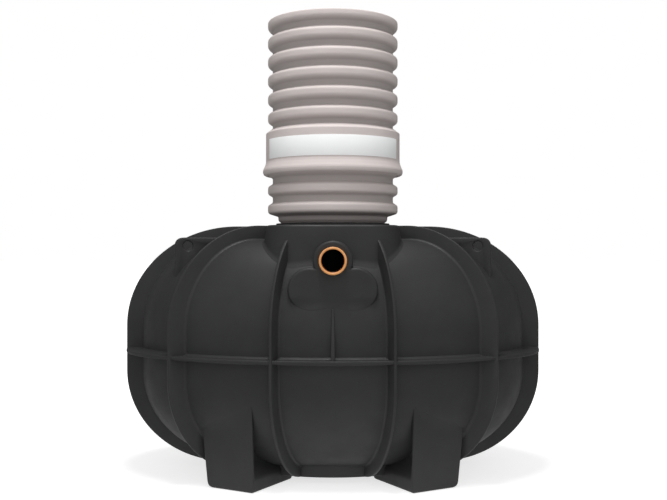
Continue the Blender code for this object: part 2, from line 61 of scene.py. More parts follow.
RIB_Y = RING_HIGH.y + RING_INSET

# Levels where the straight side ends
UPPER_LEVEL = EQUATOR + 0.111
LOWER_LEVEL = EQUATOR - 0.099
# Share of the reach that is flat before the corner starts
SHELL_UPPER_SHARE = 0.55
SHELL_LOWER_SHARE = 0.51
RIB_UPPER_SHARE = 0.466
INNER_RIB_UPPER_SHARE = 0.500
RIB_LOWER_SHARE = 0.517
# Angles of the ribs and lugs from the tank's long axis
OUTER_ANGLE = math.radians(28.6)
INNER_ANGLE = math.radians(64.6)
LUG_ANGLE = math.radians(18)

ROOT = "root"
PLAN_STEPS = 224
CORNER_POINTS = 90
RECTANGLE_CORNER_STEPS = 20
RECTANGLE_SIDE_STEPS = 10
SMOOTH_LIMIT = math.radians(38)
WELD_DISTANCE = 0.00002
# A rounded corner takes up at most this share of the sides next to it
ROUND_SHARE = 0.48
SAMPLE_SHARE = 0.45
SHORTEST_ROUND = 1e-6
NEARLY_STRAIGHT = math.radians(89)


# Meshes

def linked(name, data):
    """A new object in the scene."""
    obj = bpy.data.objects.new(name, data)
    bpy.context.scene.collection.objects.link(obj)
    return obj


def new_object(name, mesh, material):
    mesh.materials.clear()
    mesh.materials.append(material)
    return linked(name, mesh)


def shade(mesh):
    mesh.shade_smooth()
    mesh.set_sharp_from_angle(angle=SMOOTH_LIMIT)


def loft(name, grid, wrap=False):
    """Skin rows of points. Each row is a closed loop; the rows wrap round or end in caps."""
    shape = bmesh.new()
    rows = [[shape.verts.new(point) for point in row] for row in grid]
    pairs = list(zip(rows, rows[1:]))
    if wrap:
        pairs.append((rows[-1], rows[0]))
    for near, far in pairs:
        for i in range(len(near)):
            j = (i + 1) % len(near)
            shape.faces.new((near[i], near[j], far[j], far[i]))
    if not wrap:
        shape.faces.new(rows[0][::-1])
        shape.faces.new(rows[-1])
    bmesh.ops.recalc_face_normals(shape, faces=shape.faces)
    if shape.calc_volume(signed=True) < 0:
        bmesh.ops.reverse_faces(shape, faces=shape.faces)
    mesh = bpy.data.meshes.new(name)
    shape.to_mesh(mesh)
    shape.free()
    return mesh


def evaluated(obj):
    """The mesh an object's modifiers or curve make. The object itself is removed."""
    bpy.context.view_layer.update()
    depsgraph = bpy.context.evaluated_depsgraph_get()
    mesh = bpy.data.meshes.new_from_object(obj.evaluated_get(depsgraph))
    bpy.data.objects.remove(obj, do_unlink=True)
    return mesh


def welded(mesh):
    """A mesh with its doubled points joined."""
    shape = bmesh.new()
    shape.from_mesh(mesh)
    bmesh.ops.remove_doubles(shape, verts=shape.verts, dist=WELD_DISTANCE)
    shape.to_mesh(mesh)
    shape.free()
    return mesh


def cut_with(mesh, cutter):
    """A mesh with another mesh taken out of it."""
    obj, tool = linked("cut", mesh), linked("tool", cutter)
    boolean = obj.modifiers.new("Cut", "BOOLEAN")
    boolean.operation = "DIFFERENCE"
    boolean.solver = "EXACT"
    boolean.object = tool
    result = evaluated(obj)
    bpy.data.objects.remove(tool, do_unlink=True)
    return result


# Lines and outlines

def shares(count):
    """Even shares up to 1, without 0."""
    return np.linspace(0, 1, count + 1)[1:]


def quarter(steps):
    """Even turns from 0 to a right angle."""
    return np.linspace(0, math.pi / 2, steps + 1)


def eased(t):
    """A share that starts and ends slowly."""
    return t ** 2 * (3 - 2 * t)


def bend(start, corner, end, t):
    """A point on the curve from start to end that a corner pulls to its side."""
    return start * (1 - t) ** 2 + corner * 2 * t * (1 - t) + end * t ** 2


def raised(plan, height):
    """Plan points at a height, which is one value or one for each point."""
    return np.column_stack([plan, np.broadcast_to(height, len(plan))])


def lowered(points, drop):
    """Points moved down by an amount for each."""
    result = points.copy()
    result[:, 2] -= drop
    return result


def turn_grid(profile, steps, squeeze=1.0):
    """Points of a profile turned about Z."""
    angles = np.linspace(0, 2 * math.pi, steps, endpoint=False)
    profile = np.array(profile, float)
    ring = np.stack([np.cos(angles), squeeze * np.sin(angles)], 1)
    grid = np.empty((len(profile), steps, 3))
    grid[:, :, :2] = profile[:, None, :1] * ring[None]
    grid[:, :, 2] = profile[:, None, 1]
    return grid


def resample(line, count):
    """Points at even steps along a line."""
    steps = np.hypot(*np.diff(line, axis=0).T)
    along = np.concatenate([[0], np.cumsum(steps)])
    wanted = np.linspace(0, along[-1], count)
    return np.stack([np.interp(wanted, along, line[:, k]) for k in range(2)], 1)


def rounded(points, radius, steps):
    """A closed outline with its corners rounded; radius is one value or one per corner."""
    radii = [radius] * len(points) if np.isscalar(radius) else radius
    result = []
    for i, soft in enumerate(radii):
        here = Vector(points[i])
        back = Vector(points[i - 1]) - here
        ahead = Vector(points[(i + 1) % len(points)]) - here
        half = back.angle(ahead) / 2
        reach = min(soft / math.tan(half), ROUND_SHARE * back.length, ROUND_SHARE * ahead.length)
        if reach < SHORTEST_ROUND or half > NEARLY_STRAIGHT:
            result.append(tuple(here))
            continue
        start, end = here + back.normalized() * reach, here + ahead.normalized() * reach
        result += [tuple(bend(start, here, end, k / steps)) for k in range(steps + 1)]
    return result


def sampled(points, radii, count):
    """A rounded outline that keeps the same number of points at every corner."""
    result = []
    for i, radius in enumerate(radii):
        here = Vector(points[i])
        back = Vector(points[i - 1]) - here
        ahead = Vector(points[(i + 1) % len(points)]) - here
        reach = [min(radius, SAMPLE_SHARE * way.length) for way in (back, ahead)]
        start = here + (back.normalized() * reach[0] if back.length else back)
        end = here + (ahead.normalized() * reach[1] if ahead.length else ahead)
        result += [tuple(bend(start, here, end, k / (count - 1))) for k in range(count)]
    return np.array(result)


def rounded_rectangle(half_x, half_y, radius):
    """A rectangle's outline with round corners and with points along its straight sides."""
    points = []
    for turn, (sx, sy) in enumerate(((1, 1), (-1, 1), (-1, -1), (1, -1))):
        x, y = sx * (half_x - radius), sy * (half_y - radius)
        for k in range(RECTANGLE_CORNER_STEPS + 1):
            angle = (turn + k / RECTANGLE_CORNER_STEPS) * math.pi / 2
            points.append((x + radius * math.cos(angle), y + radius * math.sin(angle)))
    filled = []
    for i, point in enumerate(points):
        filled.append(point)
        if (i + 1) % (RECTANGLE_CORNER_STEPS + 1) == 0:
            ahead = points[(i + 1) % len(points)]
            for t in np.arange(1, RECTANGLE_SIDE_STEPS) / RECTANGLE_SIDE_STEPS:
                filled.append(tuple(a + (b - a) * t for a, b in zip(point, ahead)))
    return np.array(filled)


def rectangle_reach(angle, half_x, half_y, radius):
    """Distance from the middle to a rounded rectangle's edge at an angle."""
    c, s = abs(math.cos(angle)), abs(math.sin(angle))
    if half_x / c * s <= half_y - radius:
        return half_x / c
    if s > 0 and half_y / s * c <= half_x - radius:
        return half_y / s
    cx, cy = half_x - radius, half_y - radius
    along = c * cx + s * cy
    return along + math.sqrt(radius ** 2 - (cx ** 2 + cy ** 2 - along ** 2))


def ellipse_reach(angle, half_x, half_y):
    """Distance from the middle to an ellipse's edge at an angle."""
    return 1 / math.hypot(math.cos(angle) / half_x, math.sin(angle) / half_y)


# The tank's surface

def corner_line(reach, crown, share, start, count):
    """From a start radius along the flat and round the corner to the straight side."""
    level = UPPER_LEVEL if crown > EQUATOR else LOWER_LEVEL
    flat = share * reach
    first = 0 if start < flat else math.asin(min(1, (start - flat) / (reach - flat)))
    turns = np.linspace(first, math.pi / 2, CORNER_POINTS)
    radii = flat + (reach - flat) * np.sin(turns)
    line = np.stack([radii, level + (crown - level) * np.cos(turns)], 1)
    if start < flat:
        line = np.vstack([[start, crown], line])
    return resample(line, count)


def straight_line(reach, level, end, count):
    """Down or up the straight side, without its first point."""
    heights = np.linspace(level, end, count + 1)[1:]
    return np.stack([np.full(count, reach), heights], 1)


def shell_reach(height):
    """The tank's half length at a height, and how far up or down the corner that is."""
    up = np.clip((height - UPPER_LEVEL) / (SHELL_TOP - UPPER_LEVEL), 0, None)
    down = np.clip((LOWER_LEVEL - height) / (LOWER_LEVEL - SHELL_BOTTOM), 0, None)
    climb = np.maximum(up, down)
    flat = np.where(up > 0, SHELL_UPPER_SHARE, SHELL_LOWER_SHARE) * SHELL_X
    return flat + (SHELL_X - flat) * np.sqrt(np.clip(1 - climb ** 2, 0, 1)), climb


def outside_shell(points):
    """True for each point that lies outside the tank."""
    limit, climb = shell_reach(points[..., 2])
    return (np.hypot(points[..., 0], points[..., 1] / SQUEEZE) > limit) | (climb > 1)


def surface_height(points, level, crown, share):
    """Height of the tank's surface over or under some points."""
    flat = share * SHELL_X
    radius = np.hypot(points[:, 0], points[:, 1] / SQUEEZE)
    climb = np.clip((radius - flat) / (SHELL_X - flat), 0, 1)
    return level + (crown - level) * np.sqrt(1 - climb ** 2)


def upper_height(points):
    return surface_height(points, UPPER_LEVEL, SHELL_TOP, SHELL_UPPER_SHARE)


def lower_height(points):
    return surface_height(points, LOWER_LEVEL, SHELL_BOTTOM, SHELL_LOWER_SHARE)


# Materials

# The part of a noise's range over which a colour or value changes
NOISE_MIDDLE = (0.35, 0.65)
SHEEN = 0.3
# Painted shade: the riser's plastic darkens from a crest's radius down to a groove's
GROOVE_SHADE = 0.68
FULL_SHADE_RADIUS = 0.283
NO_SHADE_RADIUS = 0.302


def graph(name, base, roughness):
    """A new material, with its node tree and its shader."""
    material = bpy.data.materials.new(name)
    material.use_nodes = True
    tree = material.node_tree
    shader = tree.nodes["Principled BSDF"]
    shader.inputs["Base Color"].default_value = (*base, 1)
    shader.inputs["Roughness"].default_value = roughness
    return material, tree, shader


def noise(tree, scale, detail=2.0, rough=0.5, stretch=None):
    """Noise over the object's own space, in features per metre."""
    coordinates = tree.nodes.new("ShaderNodeTexCoord")
    texture = tree.nodes.new("ShaderNodeTexNoise")
    texture.inputs["Scale"].default_value = scale
    texture.inputs["Detail"].default_value = detail
    texture.inputs["Roughness"].default_value = rough
    source = coordinates.outputs["Object"]
    if stretch:
        mapping = tree.nodes.new("ShaderNodeMapping")
        mapping.inputs["Scale"].default_value = stretch
        tree.links.new(source, mapping.inputs["Vector"])
        source = mapping.outputs["Vector"]
    tree.links.new(source, texture.inputs["Vector"])
    return texture.outputs["Fac"]


def between(tree, source, start, end, low, high, kind="SMOOTHSTEP"):
    """A step from one value to another while the source goes from start to end."""
    node = tree.nodes.new("ShaderNodeMapRange")
    node.interpolation_type = kind
    node.inputs["From Min"].default_value = start
    node.inputs["From Max"].default_value = end
    node.inputs["To Min"].default_value = low
    node.inputs["To Max"].default_value = high
    tree.links.new(source, node.inputs["Value"])
    return node.outputs["Result"]


def vector_math(tree, operation, source):
    node = tree.nodes.new("ShaderNodeVectorMath")
    node.operation = operation
    tree.links.new(source, node.inputs[0])
    return node


def colour(tree, shader, source, dark, light):
    """Let a noise run the colour from dark to light; returns the colour's socket."""
    ramp = tree.nodes.new("ShaderNodeValToRGB")
    for stop, position, value in zip(ramp.color_ramp.elements, NOISE_MIDDLE, (dark, light)):
        stop.position = position
        stop.color = (*value, 1)
    tree.links.new(source, ramp.inputs["Fac"])
    tree.links.new(ramp.outputs["Color"], shader.inputs["Base Color"])
    return ramp.outputs["Color"]


def gloss(tree, shader, source, smooth, rough):
    """Let a noise run the roughness between two values."""
    value = between(tree, source, *NOISE_MIDDLE, smooth, rough, "LINEAR")
    tree.links.new(value, shader.inputs["Roughness"])


def bumps(tree, shader, *layers):
    """Stack bumps, each a noise with its depth in metres and its strength."""
    below = None
    for source, depth, strength in layers:
        bump = tree.nodes.new("ShaderNodeBump")
        bump.inputs["Distance"].default_value = depth
        bump.inputs["Strength"].default_value = strength
        tree.links.new(source, bump.inputs["Height"])
        if below:
            tree.links.new(below, bump.inputs["Normal"])
        below = bump.outputs["Normal"]
    tree.links.new(below, shader.inputs["Normal"])


def black_plastic():
    """Black plastic with faint clouds, shallow waves and a fine grain."""
    material, tree, shader = graph("tank_plastic", (0.024, 0.024, 0.024), 0.54)
    shader.inputs["Specular IOR Level"].default_value = SHEEN
    clouds = noise(tree, scale=5, detail=4, rough=0.6)
    colour(tree, shader, clouds, (0.0226, 0.0228, 0.0229), (0.0268, 0.0270, 0.0271))
    gloss(tree, shader, noise(tree, scale=11, detail=5, rough=0.6), 0.48, 0.60)
    waves = noise(tree, scale=16, detail=2, rough=0.4)
    grain = noise(tree, scale=420, detail=3, rough=0.6)
    bumps(tree, shader, (waves, 0.003, 0.25), (grain, 0.0005, 0.3))
    return material


def beige_plastic():
    """Beige plastic with painted shade: a little darker down in the grooves."""
    material, tree, shader = graph("riser_plastic", (0.56, 0.50, 0.48), 0.5)
    shader.inputs["Specular IOR Level"].default_value = SHEEN
    clouds = noise(tree, scale=7, detail=4, rough=0.6, stretch=(1, 1, 2.5))
    beige = colour(tree, shader, clouds, (0.595, 0.534, 0.516), (0.625, 0.562, 0.542))
    coordinates = tree.nodes.new("ShaderNodeTexCoord")
    flat = vector_math(tree, "MULTIPLY", coordinates.outputs["Object"])
    flat.inputs[1].default_value = (1, 1, 0)
    radius = vector_math(tree, "LENGTH", flat.outputs["Vector"]).outputs["Value"]
    shaded = vector_math(tree, "SCALE", beige)
    # Painted shade in the grooves: the colour is scaled down as the radius falls towards a groove's
    painted_groove_shade = between(tree, radius, FULL_SHADE_RADIUS, NO_SHADE_RADIUS, GROOVE_SHADE, 1.0, "LINEAR")
    tree.links.new(painted_groove_shade, shaded.inputs["Scale"])
    tree.links.new(shaded.outputs["Vector"], shader.inputs["Base Color"])
    gloss(tree, shader, noise(tree, scale=20, detail=4), 0.52, 0.64)
    waves = noise(tree, scale=14, detail=2, rough=0.4, stretch=(1, 1, 3))
    grain = noise(tree, scale=300, detail=3, rough=0.6)
    bumps(tree, shader, (waves, 0.001, 0.15), (grain, 0.0003, 0.15))
    return material


def plain_material(name, base, roughness, clouds, wear, grain):
    """A material with one noise each for colour, roughness and bumps.

    Clouds and wear give a scale, a detail and two end values; grain gives a scale, a depth
    in metres and a strength.
    """
    material, tree, shader = graph(name, base, roughness)
    colour(tree, shader, noise(tree, *clouds[:2]), *clouds[2:])
    gloss(tree, shader, noise(tree, *wear[:2]), *wear[2:])
    bumps(tree, shader, (noise(tree, grain[0]), *grain[1:]))
    return material


BLACK = black_plastic()
BEIGE = beige_plastic()
FILM = plain_material("label_film", (0.97, 0.98, 0.98), 0.32,
                      clouds=(14, 4, (0.96, 0.97, 0.97), (0.98, 0.99, 0.99)),
                      wear=(40, 4, 0.28, 0.40), grain=(30, 0.0015, 0.2))
ORANGE = plain_material("pipe_plastic", (0.77, 0.35, 0.12), 0.35,
                        clouds=(25, 4, (0.72, 0.32, 0.10), (0.82, 0.38, 0.14)),
                        wear=(60, 3, 0.28, 0.42), grain=(500, 0.0003, 0.2))
RUBBER = plain_material("seal_rubber", (0.014, 0.014, 0.014), 0.7,
                        clouds=(40, 3, (0.012, 0.012, 0.012), (0.022, 0.022, 0.022)),
                        wear=(90, 3, 0.6, 0.8), grain=(600, 0.0003, 0.3))


def show(name, mesh, material, *nodes):
    """Put a finished mesh in the scene in place of its solids."""
    shade(mesh)
    obj = new_object(name, mesh, material)
    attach(obj, ROOT)
    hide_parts(*nodes)


# Tank

PIPE_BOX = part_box("inlet_pipe")
PIPE_RADIUS = (PIPE_BOX[1].x - PIPE_BOX[0].x) / 2
PIPE_HEIGHT = (PIPE_BOX[1].z + PIPE_BOX[0].z) / 2
PIPE_MOUTH = -PIPE_BOX[0].y
PIPE_INNER_END = -PIPE_BOX[1].y
PIPE_WALL = 0.0098
PIPE_RIM = 0.006
PIPE_INNER_RIM = 0.001
PIPE_STEPS = 96
# Gap round the pipe in its hole, and how far the cutter runs on past both of the pipe's ends
CUT_GAP = 0.0004
CUT_OVERRUN = 0.05
HOUSING_CORNER = 0.150
HOUSING_WALL = 0.014
SHELL_WALL = 0.010
# Each half of the tank stops this far from the equator
SHELL_SEAM = 0.0002
# Radius of the flat cap in the middle of the tank's bottom
BOTTOM_START = 0.01
UPPER_STATIONS = 44
LOWER_STATIONS = 48
SIDE_STATIONS = 6


def along_y(mesh):
    """Turn a piece made about Z so that it points out of the front."""
    mesh.transform(Matrix.Translation((0, 0, PIPE_HEIGHT)) @ Matrix.Rotation(math.pi / 2, 4, "X"))
    return mesh


def bored(mesh):
    """A mesh with the hole for the pipe."""
    radius = PIPE_RADIUS + CUT_GAP
    profile = [(radius, PIPE_MOUTH + CUT_OVERRUN), (radius, PIPE_INNER_END - CUT_OVERRUN)]
    return cut_with(mesh, along_y(loft("bore", turn_grid(profile, PIPE_STEPS))))


def shell_profile(crown, share, start, stations):
    """The outer line of one half of the tank, then back along its inner line."""
    side = 1 if crown > EQUATOR else -1
    level = UPPER_LEVEL if side > 0 else LOWER_LEVEL
    lines = []
    for wall in (0, SHELL_WALL):
        corner = corner_line(SHELL_X - wall, crown - side * wall, share, start, stations)
        straight = straight_line(SHELL_X - wall, level, EQUATOR + side * SHELL_SEAM, SIDE_STATIONS)
        lines.append(np.vstack([corner, straight]))
    return np.vstack([lines[0], lines[1][::-1]])


def build_upper_shell():
    """The upper half, open under the housing, whose outline its hole follows."""
    turns = np.linspace(0, 2 * math.pi, PLAN_STEPS, endpoint=False)
    x, y = np.cos(turns), SQUEEZE * np.sin(turns)
    half_wall = HOUSING_WALL / 2
    hole = (HOUSING_X - half_wall, HOUSING_Y - half_wall, HOUSING_CORNER - half_wall)
    columns = []
    for angle, scale in zip(np.arctan2(y, x), np.hypot(x, y)):
        start = rectangle_reach(angle, *hole) / scale
        profile = shell_profile(SHELL_TOP, SHELL_UPPER_SHARE, start, UPPER_STATIONS)
        radius = profile[:, 0] * scale
        columns.append(np.stack([radius * math.cos(angle), radius * math.sin(angle), profile[:, 1]], 1))
    grid = np.array(columns).transpose(1, 0, 2)
    show("tank_upper_skin", bored(loft("upper_skin", grid, wrap=True)), BLACK, "upper_shell")


def build_lower_shell():
    profile = shell_profile(SHELL_BOTTOM, SHELL_LOWER_SHARE, BOTTOM_START, LOWER_STATIONS)
    mesh = loft("lower_skin", turn_grid(profile, PLAN_STEPS, SQUEEZE))
    show("tank_lower_skin", mesh, BLACK, "lower_shell")


RING_FILLET = 0.012
EDGE_ROUND = 0.0045
EDGE_STEPS = 4
FILLET_STEPS = 6
# How far the rim of a fillet goes into the surface under it
FILLET_SINK = 0.003


def fillet(width, sink):
    """Offsets from a wall and heights over a surface, from the rim that sinks in to the wall."""
    offsets = width * (1 - np.cos(quarter(FILLET_STEPS)))[::-1]
    heights = width - np.sqrt(np.clip(width ** 2 - (width - offsets) ** 2, 0, None))
    heights[0] -= sink
    return list(zip(offsets, heights))


def edge_arc(half):
    """A rounded edge seen end on: offsets out from the edge's start, and across."""
    turns = quarter(EDGE_STEPS)
    return list(zip(EDGE_ROUND * np.sin(turns), half - EDGE_ROUND + EDGE_ROUND * np.cos(turns)))


def build_ring():
    angles = np.linspace(0, 2 * math.pi, PLAN_STEPS * 2, endpoint=False)
    inner = np.stack([SHELL_X * np.cos(angles), SHELL_Y * np.sin(angles)], 1)
    outer = np.stack([RING_HIGH.x * np.cos(angles), RING_HIGH.y * np.sin(angles)], 1)
    reach = np.linalg.norm(outer - inner, axis=1)
    out = (outer - inner) / reach[:, None]
    upper = [(np.full_like(reach, height), RING_HALF + offset)
             for offset, height in fillet(RING_FILLET, FILLET_SINK)]
    upper += [(reach - EDGE_ROUND + rise, across) for rise, across in edge_arc(RING_HALF)]
    section = upper + [(distance, -across) for distance, across in upper[::-1]]
    grid = np.empty((len(section), len(angles), 3))
    for row, (distance, height) in zip(grid, section):
        row[:, :2] = inner + out * distance[:, None]
        row[:, 2] = EQUATOR + height
    show("equator_flange", loft("ring", grid, wrap=True), BLACK, "equator_rib")


RIB_HALF = 0.0070
RIB_BASE_HALF = 0.0085
RIB_FILLET = 0.009
RIB_STATIONS = 46
RIB_SIDE_STATIONS = 4
# How far a lower rib reaches in under the plinth's edge
RIB_ROOT = 0.02
SEARCH_REACH = 0.06
SEARCH_STEPS = 22


def surface_distance(points, out):
    """How far along its direction each point meets the tank's surface."""
    low, high = np.full(len(points), -SEARCH_REACH), np.full(len(points), SEARCH_REACH)
    for _ in range(SEARCH_STEPS):
        middle = (low + high) / 2
        outside = outside_shell(points + out * middle[:, None])
        high = np.where(outside, middle, high)
        low = np.where(outside, low, middle)
    return low


def build_rib(name, node, angle, upper):
    """A rib between the tank and its own outer edge, with fillets that follow the tank."""
    outward = np.array([math.cos(angle), math.sin(angle), 0])
    sideways = np.array([-math.sin(angle), math.cos(angle), 0])
    if upper:
        start = rectangle_reach(angle, HOUSING_X, HOUSING_Y, HOUSING_CORNER) - HOUSING_WALL / 2
        share = INNER_RIB_UPPER_SHARE if name.endswith("inner") else RIB_UPPER_SHARE
        level, crowns, flats = UPPER_LEVEL, (SHELL_TOP, RIB_TOP), (SHELL_UPPER_SHARE, share)
    else:
        start = ellipse_reach(angle, PLINTH_X, PLINTH_Y) - RIB_ROOT
        level, crowns = LOWER_LEVEL, (SHELL_BOTTOM, RIB_BOTTOM)
        flats = (SHELL_LOWER_SHARE, RIB_LOWER_SHARE)
    reaches = (SHELL_X * ellipse_reach(angle, 1, SQUEEZE), ellipse_reach(angle, RIB_X, RIB_Y))
    lines = []
    for reach, crown, flat in zip(reaches, crowns, flats):
        line = np.vstack([corner_line(reach, crown, flat, start, RIB_STATIONS),
                          straight_line(reach, level, EQUATOR, RIB_SIDE_STATIONS)])
        lines.append(line[:, :1] * outward + line[:, 1:] * np.array([0, 0, 1]))
    near, far = lines
    reach = np.linalg.norm(far - near, axis=1)
    out = (far - near) / reach[:, None]
    halves = []
    for side in (sideways, -sideways):
        half = []
        for offset, height in fillet(RIB_FILLET, FILLET_SINK):
            points = near + side * (RIB_BASE_HALF + offset)
            climb = np.minimum(surface_distance(points, out) + height, reach - EDGE_ROUND)
            half.append(points + out * climb[:, None])
        for rise, across in edge_arc(RIB_HALF):
            half.append(near + side * across + out * (reach - EDGE_ROUND + rise)[:, None])
        halves.append(half)
    grid = np.array(halves[0] + halves[1][::-1]).transpose(1, 0, 2)
    show(name, loft(name, grid), BLACK, node)


def build_ribs():
    places = {
        "right": 0.0, "back_right_outer": OUTER_ANGLE, "back_right_inner": INNER_ANGLE,
        "back_left_inner": math.pi - INNER_ANGLE, "back_left_outer": math.pi - OUTER_ANGLE,
        "left": math.pi, "front_left_outer": math.pi + OUTER_ANGLE,
        "front_left_inner": math.pi + INNER_ANGLE, "front_right_inner": -INNER_ANGLE,
        "front_right_outer": -OUTER_ANGLE,
    }
    for place, angle in places.items():
        build_rib("rib_above_" + place, "upper_rib_" + place, angle, True)
        build_rib("rib_below_" + place, "lower_rib_" + place, angle, False)


HOUSING_DRAFT = 0.009
HOUSING_FILLET = 0.014
HOUSING_EDGE = 0.011
HOUSING_CROWN = 0.003
HOUSING_SINK = 0.004
HOUSING_SKIRT = 0.02
HOUSING_WALL_STEPS = 4
HOUSING_EDGE_STEPS = 6
HOUSING_TOP_STEPS = 8
NECK_RADIUS = 0.2520


def build_housing():
    """The block round the neck: up its outer side, over its top and back down inside."""
    def outline(grow):
        return rounded_rectangle(HOUSING_X + grow, HOUSING_Y + grow, HOUSING_CORNER + grow)

    rows = []
    for offset, height in fillet(HOUSING_FILLET, HOUSING_SINK):
        ring = outline(offset)
        rows.append(raised(ring, upper_height(ring) + height))
    foot = upper_height(outline(0))
    shoulder = HOUSING_TOP - HOUSING_CROWN - HOUSING_EDGE
    for t in shares(HOUSING_WALL_STEPS):
        height = foot + HOUSING_FILLET + (shoulder - foot - HOUSING_FILLET) * t
        rows.append(raised(outline(-HOUSING_DRAFT * t), height))
    for turn in quarter(HOUSING_EDGE_STEPS)[1:]:
        ring = outline(-HOUSING_DRAFT - HOUSING_EDGE * (1 - math.cos(turn)))
        rows.append(raised(ring, shoulder + HOUSING_EDGE * math.sin(turn)))
    edge = outline(-HOUSING_DRAFT - HOUSING_EDGE)
    turns = np.arctan2(edge[:, 1], edge[:, 0])
    neck = NECK_RADIUS * np.column_stack([np.cos(turns), np.sin(turns)])
    for t in shares(HOUSING_TOP_STEPS):
        rows.append(raised(edge + (neck - edge) * t, HOUSING_TOP - HOUSING_CROWN * (1 - t) ** 2))
    inner = outline(-HOUSING_WALL - HOUSING_DRAFT)
    for t in (0.0, 0.5, 1.0):
        rows.append(raised(neck + (inner - neck) * t, HOUSING_TOP - HOUSING_WALL))
    rows.append(raised(outline(-HOUSING_WALL), foot - HOUSING_SKIRT))
    show("neck_block", bored(loft("housing", np.array(rows), wrap=True)), BLACK, "neck_housing")


# Pads, pipe and gussets

PAD_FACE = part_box("back_pipe_pad")[1].y
PAD_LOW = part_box("back_pipe_pad")[0].z
LOBE_RADIUS = 0.0925
LOBE_SPREAD = 0.097
LOBE_HEIGHT = PIPE_HEIGHT - 0.121
BOSS_RADIUS = PIPE_RADIUS + 0.026
PAD_MIDDLE = (PIPE_HEIGHT + LOBE_HEIGHT) / 2
PAD_POINTS = 240
PAD_EDGE = 0.011
PAD_EDGE_STEPS = 6
# Distances behind the face where the pad's side has its first rows
PAD_SIDE = (0.10, 0.04)
# Sizes of the rings across the face, as shares of its rim
PAD_FACE_RINGS = (0.92, 0.84, 0.76, 0.68, 0.5, 0.3, 0.1)
PAD_BLEND_LOW = 0.012
PAD_BLEND_HIGH = 0.062
PAD_PROUD = 0.0008


def disc_reach(ray, centre, radius):
    """Distance from the pad's middle along a ray to the far side of a disc, or 0."""
    offset = (centre[0], centre[1] - PAD_MIDDLE)
    along = offset[0] * ray[0] + offset[1] * ray[1]
    miss = offset[0] ** 2 + offset[1] ** 2 - along ** 2
    return along + math.sqrt(radius ** 2 - miss) if miss < radius ** 2 else 0.0


def pad_outline(shrink):
    """The outline round the boss and the lobes, drawn in by an amount."""
    foot = PAD_MIDDLE - LOBE_HEIGHT + LOBE_RADIUS - shrink
    discs = (((0, PIPE_HEIGHT), BOSS_RADIUS - shrink),
             ((LOBE_SPREAD, LOBE_HEIGHT), LOBE_RADIUS - shrink),
             ((-LOBE_SPREAD, LOBE_HEIGHT), LOBE_RADIUS - shrink))
    outline = []
    for i in range(PAD_POINTS):
        turn = 2 * math.pi * (i + 0.5) / PAD_POINTS
        ray = (math.cos(turn), math.sin(turn))
        if -ray[1] * LOBE_SPREAD > foot * abs(ray[0]):
            reach = foot / -ray[1]
        else:
            reach = max(disc_reach(ray, centre, radius) for centre, radius in discs)
        outline.append((reach * ray[0], PAD_MIDDLE + reach * ray[1]))
    return np.array(outline)


def pad_depth(outline):
    """How far the pad's face stands out, down to the tank's own surface at its foot."""
    x, z = outline[:, 0], outline[:, 1]
    reach, _ = shell_reach(z)
    skin = SQUEEZE * np.sqrt(np.clip(reach ** 2 - x ** 2, 0, None)) + PAD_PROUD
    fade = eased(np.clip((PAD_LOW + PAD_BLEND_HIGH - z) / (PAD_BLEND_HIGH - PAD_BLEND_LOW), 0, 1))
    return PAD_FACE + (np.minimum(skin, PAD_FACE) - PAD_FACE) * fade


def build_pads():
    rings = [(pad_outline(0), behind) for behind in (*PAD_SIDE, PAD_EDGE)]
    for turn in quarter(PAD_EDGE_STEPS)[1:]:
        rings.append((pad_outline(PAD_EDGE * (1 - math.cos(turn))), PAD_EDGE * (1 - math.sin(turn))))
    middle, rim = np.array((0, PAD_MIDDLE)), rings[-1][0]
    rings += [(middle + (rim - middle) * share, 0) for share in PAD_FACE_RINGS]
    for side, node in ((-1, "front_pipe_pad"), (1, "back_pipe_pad")):
        rows = [np.column_stack([ring[:, 0], side * (pad_depth(ring) - behind), ring[:, 1]])
                for ring, behind in rings]
        mesh = loft("pad", np.array(rows))
        show(node + "_face", bored(mesh) if side < 0 else mesh, BLACK, node)


def build_pipe():
    bore = PIPE_RADIUS - PIPE_WALL
    ends = [(PIPE_RADIUS, PIPE_MOUTH), (PIPE_RADIUS, PIPE_INNER_END), (bore, PIPE_INNER_END),
            (bore, PIPE_MOUTH)]
    profile = rounded(ends, [PIPE_RIM, PIPE_INNER_RIM, PIPE_INNER_RIM, PIPE_RIM], steps=6)
    mesh = along_y(loft("pipe", turn_grid(profile, PIPE_STEPS), wrap=True))
    show("inlet_pipe_stub", mesh, ORANGE, "inlet_pipe")


def rounded_plate(outline, thickness, edge, matrix, hole=None):
    """A flat outline with thickness and rounded rims, placed by a matrix."""
    curve = bpy.data.curves.new("plate", "CURVE")
    curve.dimensions = "2D"
    curve.fill_mode = "BOTH"
    curve.extrude = thickness / 2 - edge
    curve.bevel_depth = edge
    curve.bevel_resolution = 2
    curve.offset = -edge
    for ring in (outline, hole):
        if ring is not None:
            spline = curve.splines.new("POLY")
            spline.points.add(len(ring) - 1)
            for point, (x, y) in zip(spline.points, ring):
                point.co = (x, y, 0, 1)
            spline.use_cyclic_u = True
    mesh = welded(evaluated(linked("plate", curve)))
    mesh.transform(matrix)
    return mesh


def radial_plane(angle):
    """Turns a flat outline so that it stands upright and points outwards."""
    outward = Vector((math.cos(angle), math.sin(angle), 0))
    up = Vector((0, 0, 1))
    return Matrix((outward, up, outward.cross(up))).transposed().to_4x4()


GUSSET_TIP = 0.013
GUSSET_ROOT = 0.05
GUSSET_SINK = 0.004
GUSSET_ROUND = 0.002
GUSSET_EDGE = 0.004
GUSSET_NARROWING = 0.5


